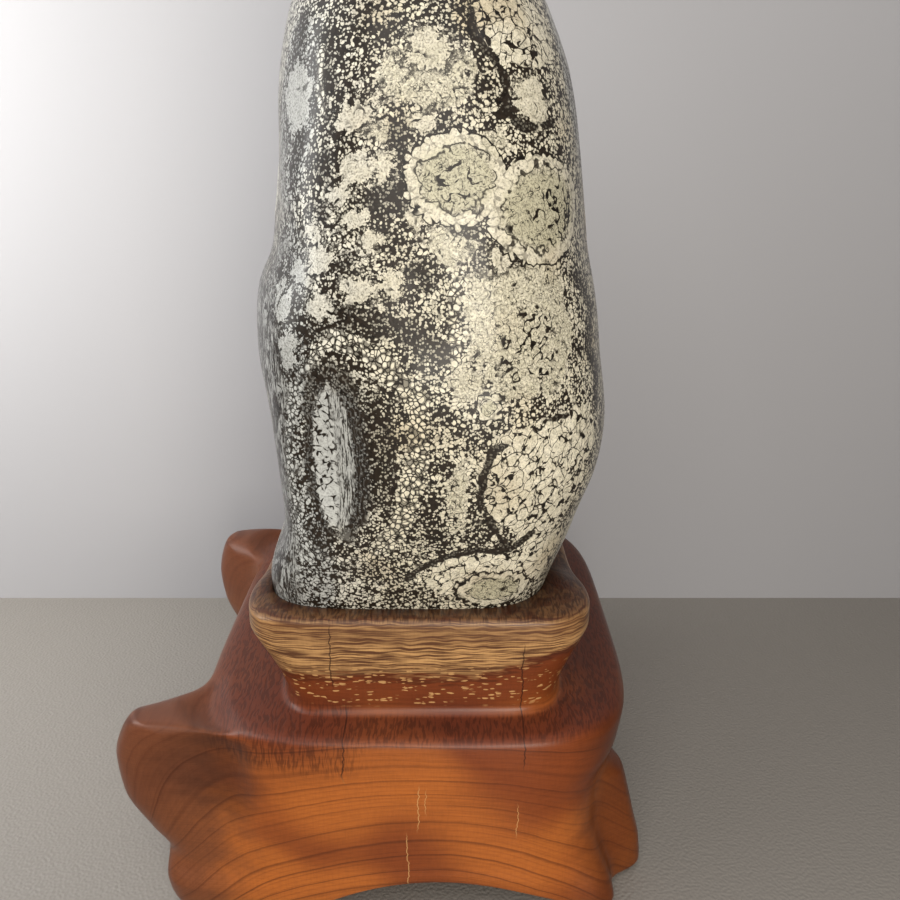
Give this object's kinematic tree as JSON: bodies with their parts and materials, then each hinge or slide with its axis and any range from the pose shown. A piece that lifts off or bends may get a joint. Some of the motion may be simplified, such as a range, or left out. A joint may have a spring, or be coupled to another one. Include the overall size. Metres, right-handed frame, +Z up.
{
  "type": "chrysanthemum stone on wooden stand",
  "caption": "Upright flower-patterned ornamental stone set end-on in a carved, varnished wooden stand with lobed shoulders and arched feet.",
  "frame": {"origin": "on the floor, under the middle of the whole object's box", "axes": "+Z up, +X to the viewer's right, +Y away from the viewer, who looks at the stone end-on"},
  "size_m": [0.2316, 0.2285, 0.397],
  "materials": {
    "stone": "polished dark stone with cream flower-like crystal clusters",
    "wood": "reddish brown hardwood with golden sapwood at the collar, glossy varnish"
  },
  "bodies": {
    "root": {"stone": "stone", "stand": "wood"}
  },
  "joints": []
}
